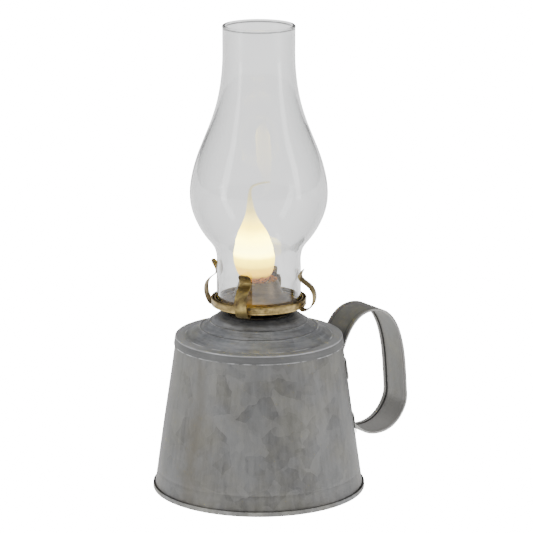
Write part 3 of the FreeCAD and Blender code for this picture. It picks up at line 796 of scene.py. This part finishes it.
def makeCup():
    low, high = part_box("burner_cup")
    bottom, top = low.z * 1000, high.z * 1000
    ring = reach("burner_cup", high.z) * 1000
    floor = bottom + cup["depth"]
    path = [(5.1, bottom), (14.6, bottom)] + arc((15.0, bottom + 0.95), 0.95, 270, 360, 5)[1:]
    path += [(15.95, floor - 0.6)] + arc((16.55, floor - 0.6), 0.6, 180, 90, 4)[1:]
    path += [(21.0, floor), (24.0, floor + 0.02), (26.2, floor + 0.1), (27.6, floor + 0.6), (29.0, floor + 1.9),
             (30.2, floor + 3.1), (31.0, floor + 3.65), (32.0, top - 0.8), (ring, top - 0.8)]
    piece = lathe("burnerCup", millimetres(path), cup["steps"])
    faceUp(piece)
    thicken(piece, cup["sheet"], 1)
    softenEdges(piece, cup["edge"], 2, 50)
    polish(piece)
    return piece


place(makeCup(), "burner", "dark_brass", darkAndShadedBrass, "burner_cup")


# Gallery ring: a brass channel with two rolled lips that holds the chimney's foot
gallery = {"wall": 0.7, "lip": 0.6, "channel": 3.1, "steps": 160}


def makeGallery():
    low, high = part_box("gallery_ring")
    wall, lip = gallery["wall"], gallery["lip"]
    bottom, top = low.z * 1000, high.z * 1000 - lip
    outer = high.x * 1000 - lip + wall / 2
    inner = outer - gallery["channel"]
    outline = [(inner + 0.3, bottom), (outer - 0.55, bottom), (outer - 0.15, bottom + 0.18), (outer, bottom + 0.6),
               (outer - 0.02, bottom + 1.7), (outer - 0.22, bottom + 2.1), (outer - 0.22, bottom + 2.5),
               (outer, bottom + 2.9), (outer, top - 0.5)]
    outline += arc((outer - wall / 2, top), lip, -40, 220, 12)
    outline += [(outer - wall, top - 0.6), (outer - wall, bottom + wall + 0.2), (outer - wall - 0.2, bottom + wall),
                (inner + wall + 0.2, bottom + wall), (inner + wall, bottom + wall + 0.2), (inner + wall, top - 0.6)]
    outline += arc((inner + wall / 2, top), lip, -40, 220, 12)
    outline += [(inner, top - 0.6), (inner, bottom + 0.3)]
    piece = lathe("galleryRing", millimetres(outline + outline[:1]), gallery["steps"])
    polish(piece, 40)
    return piece


place(makeGallery(), "burner", "aged_brass", ringBrass, "gallery_ring")


# Deflector: a flat deck that rises to a bell with an open mouth
bell = {"sheet": 0.0005, "deck": 0.9, "copperFrom": 0.149, "steps": 144}


def makeDeflector():
    low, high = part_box("deflector")
    edge, seat, mouth = high.x * 1000, low.z * 1000, high.z * 1000
    deck = seat + bell["deck"]
    path = [(edge, seat)] + arc((edge - 0.5, deck - 0.5), 0.5, 0, 90, 5)
    path += [(28.3, deck), (27.9, deck + 0.12), (27.5, deck + 0.12), (27.1, deck)]
    side = ((26.4, 0), (24.2, 0.25), (21.9, 0.95), (19.6, 2.9), (18.2, 5.6), (17.1, 8.0), (16.2, 10.4), (15.2, 13.1))
    path += profileThrough([(r, deck + rise) for r, rise in side], 4)
    path += [(14.62, mouth - 0.75), (14.42, mouth - 0.3), (14.5, mouth)]
    piece = lathe("flameDeflector", millimetres(path), bell["steps"])
    faceUp(piece)
    thicken(piece, bell["sheet"])
    polish(piece)
    return piece


flameDeflector = makeDeflector()
place(flameDeflector, "burner", "brushed_bronze", deckBronze, "deflector")
flameDeflector.data.materials.append(mouthCopper)
for face in flameDeflector.data.polygons:  # the bell's inner side
    outwards = face.normal.x * face.center.x + face.normal.y * face.center.y
    if outwards < -0.001 * face.area ** 0.5 and face.center.z > bell["copperFrom"]:
        face.material_index = 1


# Prongs: each one a spring strip bent by hand, hooked under the ring
prongShape = {"width": 9.3, "sheet": 0.6, "tipRounding": 3.6, "crown": 0.22, "footRadius": 33.4,
              "footHeight": 142.22, "touchRadius": 32.65, "columns": 6, "edge": 0.14}
prongs = {
    "prong_1": {"azimuth": 39, "reach": 13.0, "bow": 8.6, "touch": 18.0, "tip": 23.0, "flare": 4.4},
    "prong_2": {"azimuth": 129, "reach": 8.5, "bow": 11.0, "touch": 24.0, "tip": 33.0, "flare": 4.4},
    "prong_3": {"azimuth": 219, "reach": 11.0, "bow": 11.4, "touch": 23.6, "tip": 31.6, "flare": 4.8},
    "prong_4": {"azimuth": 309, "reach": 10.6, "bow": 9.6, "touch": 24.2, "tip": 30.4, "flare": 2.6},
}


def makeProng(node):
    shape = prongs[node]
    footR, footZ, touchR = (prongShape[k] for k in ("footRadius", "footHeight", "touchRadius"))
    run, bow, touch, tip, flare = (shape[k] for k in ("reach", "bow", "touch", "tip", "flare"))
    points = [(footR, 0), (footR + 1.8, -1.3), (footR + 3.7, -1.2), (footR + 0.74 * run, 0.16 * bow),
              (footR + run, bow), (footR + 0.8 * run, bow + 0.42 * (touch - bow)),
              ((2 * touchR + footR + run) / 3, bow + 0.73 * (touch - bow)), (touchR, touch),
              (touchR + 0.3 * flare, (touch + tip) / 2), (touchR + flare - 0.1, tip - 0.15)]
    line = curveThrough([Vector((r, 0, footZ + z)) / 1000 for r, z in points], 6)
    half = prongShape["width"] / 2000
    piece = drawStrip(node.replace("_", "Spring"), line, -half, half, prongShape["columns"])
    # the tip is rounded and the strip a little crowned across its width
    gone = 0
    rounding = prongShape["tipRounding"] / 1000
    for before, end in zip(reversed(line), reversed(line[:-1])):
        if gone < rounding:
            squeeze = 1 - (rounding - math.sqrt(rounding ** 2 - (rounding - gone) ** 2)) / half
            selectWhere(piece, lambda spot: abs(spot.x - before.x) + abs(spot.z - before.z) < 1e-6)
            bpy.ops.transform.resize(value=(1, squeeze, 1), center_override=before)
            leaveEdit()
        gone += (before - end).length
    faceForward(piece)
    selectWhere(piece, lambda spot: abs(spot.y) < half / 2)
    bpy.ops.transform.shrink_fatten(value=prongShape["crown"] / 1000)
    leaveEdit()
    thicken(piece, prongShape["sheet"] / 1000, 0)
    softenEdges(piece, prongShape["edge"] / 1000, 2, 50)
    edit(piece)
    selectAll()
    turnSelected(shape["azimuth"], "Z", lampAxis)
    leaveEdit()
    polish(piece, 50)
    return piece


def drawStrip(name, line, left, right, columns):
    # a sheet that follows the line, from y = left to y = right
    piece = drawPath(name, line)
    selectAll()
    bpy.ops.transform.translate(value=(0, left, 0))
    for column in range(columns):
        bpy.ops.mesh.extrude_edges_move(TRANSFORM_OT_translate={"value": (0, (right - left) / columns, 0)})
    leaveEdit()
    return piece


def faceForward(piece):
    # the faces made to agree, and the one furthest along x to look that way
    edit(piece)
    selectAll()
    bpy.ops.mesh.normals_make_consistent(inside=False)
    leaveEdit()
    if max(piece.data.polygons, key=lambda f: f.center.x).normal.x < 0:
        turnOver(piece)


for node in prongs:
    place(makeProng(node), node, "aged_brass", prongBrass, node)


# Chimney: blown glass, a straight fitter, a bulge and a long neck with a beaded rim
chimney = {"fitter": 31.75, "fitterHeight": 34.5, "neck": 27.1, "bead": 1.25, "glass": 2.0, "steps": 192, "smooth": 9}


def makeChimney():
    low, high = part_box("chimney")
    foot, height = low.z * 1000, (high.z - low.z) * 1000
    fitter, neck, bead, glass = (chimney[k] for k in ("fitter", "neck", "bead", "glass"))
    bulge = high.x * 1000
    body, rise = foot + chimney["fitterHeight"], height - chimney["fitterHeight"]
    outline = [(fitter + (bulge - fitter) * share, body + rise * part) for share, part in
               ((0, 0), (0.10, 0.04), (0.36, 0.08), (0.72, 0.145), (0.94, 0.213), (1, 0.277))]
    outline += [(bulge - (bulge - neck) * share, body + rise * part) for share, part in
                ((0.06, 0.35), (0.275, 0.455), (0.56, 0.555), (0.80, 0.655), (0.945, 0.76), (1, 0.865))]
    line = [(fitter, body - 9)] + outline + [(neck, body + rise * 0.92)]
    rim = high.z * 1000 - bead
    outside = [(fitter, foot + up) for up in (1.0, 1.6, 4, 10, 17)]
    outside += [(min(r, bulge), z) for r, z in profileThrough(line, chimney["smooth"])]
    outside += [(neck, rim - gap) for gap in (7.0, 3.5, 2.0, 1.4)]
    inside = sideways(outside, glass)
    path = arc((fitter - 1.0, foot + 1.0), 1.0, 180, 360, 10) + outside[1:]
    path += arc((neck - glass / 2, rim), bead, -30, 210, 14)
    path += list(reversed(inside[1:])) + [(fitter - glass, foot + 1.0)]
    piece = lathe("glassChimney", millimetres(path), chimney["steps"])
    polish(piece, 20)
    return piece


place(makeChimney(), "chimney", "clear_glass", chimneyGlass, "chimney")


# Flame: a silicone skin over the bulb, drawn up to a thin wisp that hooks over
flame = {"radius": 15.5, "widest": 19.0, "skin": 1.5, "lean": 4.5, "leanAzimuth": 147.0, "leanHeight": 134.82,
         "foot": 160.69, "wispAzimuth": -33.0, "wispRun": 16.5, "steps": 72}


def makeFlame():
    radius, widest, foot = flame["radius"], flame["widest"], flame["foot"]
    shares = ((0.55, 0.0), (0.78, 0.28), (0.93, 0.60), (1, 1), (0.93, 1.42), (0.78, 1.84), (0.62, 2.13), (0.45, 2.38))
    path = [(6.0, foot + 1.1), (6.0, foot + 0.3), (6.4, foot)]
    path += profileThrough([(radius * share, foot + widest * height) for share, height in shares], 7)
    piece = lathe("flameSkin", millimetres(path), flame["steps"])
    stations = ((0, 2.48, 6.0), (0, 2.62, 4.7), (0, 2.76, 3.8), (0, 2.90, 3.1), (0, 3.04, 2.65), (0.01, 3.18, 2.25),
                (0.012, 3.32, 1.85), (0.02, 3.46, 1.55), (0.042, 3.60, 1.3), (0.08, 3.72, 1.12), (0.15, 3.81, 1.0),
                (0.26, 3.87, 0.9), (0.42, 3.915, 0.82), (0.60, 3.94, 0.75), (0.80, 3.955, 0.66), (0.98, 3.96, 0.5))
    places = [Vector((flame["wispRun"] * run, 0, foot + widest * height)) / 1000 for run, height, size in stations]
    top = max(v.co.z for v in piece.data.vertices)
    selectWhere(piece, lambda spot: spot.z > top - 1e-6)
    centre, size, tilt = Vector((0, 0, top)), path[-1][0], 0.0
    for index, (run, height, nextSize) in enumerate(stations):
        spot = places[index]
        bpy.ops.mesh.extrude_region_move(TRANSFORM_OT_translate={"value": spot - centre})
        bpy.ops.transform.resize(value=(nextSize / size,) * 3, center_override=spot)
        ahead = places[min(index + 1, len(places) - 1)] - places[max(index - 1, 0)]
        slope = math.atan2(ahead.x, ahead.z)
        turnSelected(math.degrees(slope - tilt), "Y", spot)
        centre, size, tilt = spot, nextSize, slope
    bpy.ops.mesh.extrude_region_move(TRANSFORM_OT_translate={"value": (0.0002, 0, 0)})
    bpy.ops.mesh.merge(type="CENTER")
    selectAll()
    turnSelected(flame["wispAzimuth"], "Z", lampAxis)
    leaveEdit()
    leanAbout(piece)
    polish(piece, 50)
    return piece


def leanAbout(piece):
    # the socket's bracket is bent a little, so the bulb leans over about the bracket's plate
    towards = math.radians(flame["leanAzimuth"])
    plate = Vector((0, 0, flame["leanHeight"] / 1000))
    turn = Matrix.Rotation(math.radians(flame["lean"]), 4, Vector((-math.sin(towards), math.cos(towards), 0)))
    piece.matrix_world = Matrix.Translation(plate) @ turn @ Matrix.Translation(-plate)
    settle(piece)


place(makeFlame(), "bulb", "warm_silicone", flameSilicone, "flame_skin")


# Handle: a wide strap with folded edges, and a tab soldered over each of its roots
strap = {"width": 30.5, "sheet": 0.8, "hemWidth": 4.0, "hem": 0.85, "reach": 55.0, "top": 98.0, "foot": 42.5,
         "edge": 0.3, "smooth": 14}
tab = {"height": 12.0, "stand": 0.4, "sheet": 0.7, "edge": 0.2, "rows": 4, "columns": 16}


def strapLine():
    top, low, out = wallAt(strap["top"] / 1000) * 1000, wallAt(strap["foot"] / 1000) * 1000, strap["reach"]
    upper = [(-1.4, -3.5), (0.9, 2.5), (8.5, 18.3), (17.5, 27.0), (out / 2, 30.0), (out - 14.5, 27.5),
             (out - 4.0, 16.5), (out + 1.1, 4.0)]
    lower = [(out - 1.4, 17.5), (out - 1.4, 8.4), (out - 4.4, 0.4), (out - 9.4, -6.3), (out - 17.0, -11.6),
             (out / 2, -13.9), (13.2, -10.7), (4.6, -4.0), (-1.4, 1.6)]
    points = [(top + r, strap["top"] + z) for r, z in upper] + [(low + r, strap["foot"] + z) for r, z in lower]
    return curveThrough([Vector((r, 0, z)) / 1000 for r, z in points], strap["smooth"])


def strip(name, line, left, right, columns, thickness):
    piece = drawStrip(name, line, left, right, columns)
    faceForward(piece)
    thicken(piece, thickness, 0)
    return piece


def inward(line, distance):
    # the line moved towards the inside of the handle's loop
    moved = []
    for index, spot in enumerate(line):
        along = line[min(index + 1, len(line) - 1)] - line[max(index - 1, 0)]
        moved.append(spot + Vector((-along.z, 0, along.x)).normalized() * distance)
    return moved


def makeTab(name, bottom):
    heights = [(bottom + tab["height"] * row / tab["rows"]) / 1000 for row in range(tab["rows"] + 1)]
    spread = math.degrees(2 * math.asin(strap["width"] / 2000 / wallAt(heights[tab["rows"] // 2])))
    path = [(wallAt(z) + tab["stand"] / 1000, z) for z in heights]
    piece = lathe(name, path, tab["columns"], -spread / 2, spread)
    faceOut(piece)
    thicken(piece, tab["sheet"] / 1000, 0)
    softenEdges(piece, tab["edge"] / 1000, 2, 50)
    return piece


def makeHandle():
    line = strapLine()
    half, hem = strap["width"] / 2000, strap["hemWidth"] / 1000
    inner = inward(line, -(strap["sheet"] + strap["hem"]) / 2000)
    sheets = [strip("handleStrap", line, -half, half, 10, strap["sheet"] / 1000),
              strip("hemNear", inner, -half, -half + hem, 2, strap["hem"] / 1000),
              strip("hemFar", inner, half - hem, half, 2, strap["hem"] / 1000)]
    for sheet in sheets:
        softenEdges(sheet, strap["edge"] / 1000, 3, 50)
    piece = joined(sheets)
    clear, top = footRadius + 0.0002, 0.1186
    cutter = lathe("drumCutter", [(0, 0), (clear, 0), (wallAt(top) + 0.0002, top), (0, top)], 96)
    modify(piece, "BOOLEAN", object=cutter, operation="DIFFERENCE", solver="EXACT", use_self=True)
    bpy.data.objects.remove(cutter)
    piece = joined([piece, makeTab("tabTop", strap["top"] - tab["height"]), makeTab("tabFoot", strap["foot"])])
    polish(piece, 40)
    return piece


place(makeHandle(), "lamp", "galvanised_sheet", strapZinc, "handle_strap")


# Rivets through the two tabs: one is turned, the others are its copies
rivet = {"head": 3.0, "height": 1.05, "stand": 0.75, "shank": 1.6, "grip": 1.05, "spread": 8.0,
         "heights": (90.0, 50.5), "steps": 40}


def makeRivets():
    stand, head, high, shank = rivet["stand"], rivet["head"], rivet["height"], rivet["shank"]
    tail = -rivet["grip"]
    outline = [(0, tail), (shank + 0.5, tail), (shank + 0.6, tail + 0.4), (shank, -0.6), (shank, stand),
               (head - 0.1, stand), (head, stand + 0.15)]
    outline += [(head * math.cos(t), stand + 0.15 + (high - 0.15) * math.sin(t)) for t in (0.25, 0.5, 0.8, 1.1, 1.35)]
    outline += [(0, stand + high)]
    spots = [(height / 1000, side) for height in rivet["heights"] for side in (-1, 1)]
    copies = [lathe("handleRivets", millimetres(outline), rivet["steps"])]
    while len(copies) < len(spots):
        copy = copies[0].copy()
        copy.data = copies[0].data.copy()
        bpy.context.collection.objects.link(copy)
        copies.append(copy)
    for copy, (height, side) in zip(copies, spots):
        onWall(copy, math.degrees(math.asin(side * rivet["spread"] / 1000 / wallAt(height))), height)
    piece = joined(copies)
    polish(piece, 40)
    return piece


place(makeRivets(), "lamp", "rivet_steel", rivetSteel, "handle_rivets")


# The pieces inside keep their own shape and get their finish
finishes = {
    "burner_gasket": blackRubber, "threaded_tube": platedSteel, "lock_washer": platedSteel,
    "lock_nut": platedSteel, "tube_bush": whiteNylon, "socket_bracket": platedSteel,
    "socket_rivets": platedSteel, "socket_body": blackPhenolic, "socket_shell": brightBrass,
    "centre_contact": brightBrass, "bulb_screw_cap": brightBrass, "bulb_insulator": blackPhenolic,
    "bulb_contact": softSolder, "bulb_glass": innerGlass, "bulb_stem": innerGlass,
    "bulb_filament": hotFilament,
}
for name, finish in finishes.items():
    nodes[name].data.materials.clear()
    nodes[name].data.materials.append(finish)
print("inner pieces finished")


# Stage: pale floor, large soft lights and the camera
stage = {
    "floor": 14.0, "floorGlow": 1.25, "floorShown": 16.0, "world": 0.45,
    # each light stands at one place, faces another and has a size and a power
    "lights": {
        "leftLight": ((-1.9, 0.1, 0.9), (0, 0, 0.14), (0.42, 1.9), 9.5),
        "rightLight": ((1.1, -1.5, 0.9), (0, 0, 0.14), (0.42, 1.9), 10),
        "topLight": ((-0.2, 0.2, 2.2), (0, 0, 0.15), (1.4, 1.4), 12),
    },
    "eye": (-1.284, -1.978, 0.751), "downwards": 13.8, "lens": 217.9, "shift": 0.0144,
}


def softLight(name, spot, target, size, power):
    bpy.ops.object.light_add(type="AREA", location=spot)
    light = bpy.context.object
    light.name = name
    light.data.shape = "RECTANGLE"
    light.data.size, light.data.size_y = size
    light.data.energy = power
    light.rotation_euler = (Vector(target) - Vector(spot)).to_track_quat("-Z", "Y").to_euler()


def paleFloor():
    material, tree, shader = blank("paleFloor", Roughness=0.9, **{"Emission Color": (1, 1, 1, 1)})
    mottle = ramp(tree, noise(tree, placeIn(tree), 3, 2, 0.5), (0.3, (0.90, 0.90, 0.90)), (0.7, (0.92, 0.92, 0.92)))
    feed(shader, "Base Color", mottle)
    seen = add(tree, "ShaderNodeLightPath")  # the floor looks whiter than the light that it gives
    glow = span(tree, seen.outputs["Is Camera Ray"], stage["floorGlow"], stage["floorShown"])
    feed(shader, "Emission Strength", glow)
    return material


bpy.ops.mesh.primitive_plane_add(size=stage["floor"], location=(0, 0, 0))
floor = bpy.context.object
floor.name = "floor"
floor.data.materials.append(paleFloor())

world = bpy.data.worlds.new("studio")
world.use_nodes = True
sky = world.node_tree.nodes["Background"]
sky.inputs["Color"].default_value = (1, 1, 1, 1)
sky.inputs["Strength"].default_value = stage["world"]
bpy.context.scene.world = world
for name, settings in stage["lights"].items():
    softLight(name, *settings)

bpy.ops.object.camera_add(location=stage["eye"])
camera = bpy.context.object
camera.name = "camera"
heading = math.atan2(-stage["eye"][1], -stage["eye"][0])
camera.rotation_euler = (math.pi / 2 - math.radians(stage["downwards"]), 0, heading - math.pi / 2)
camera.data.lens = stage["lens"]
camera.data.sensor_width = 36
camera.data.shift_x = stage["shift"]
camera.data.clip_end = 50
bpy.context.scene.camera = camera
print("stage ready")
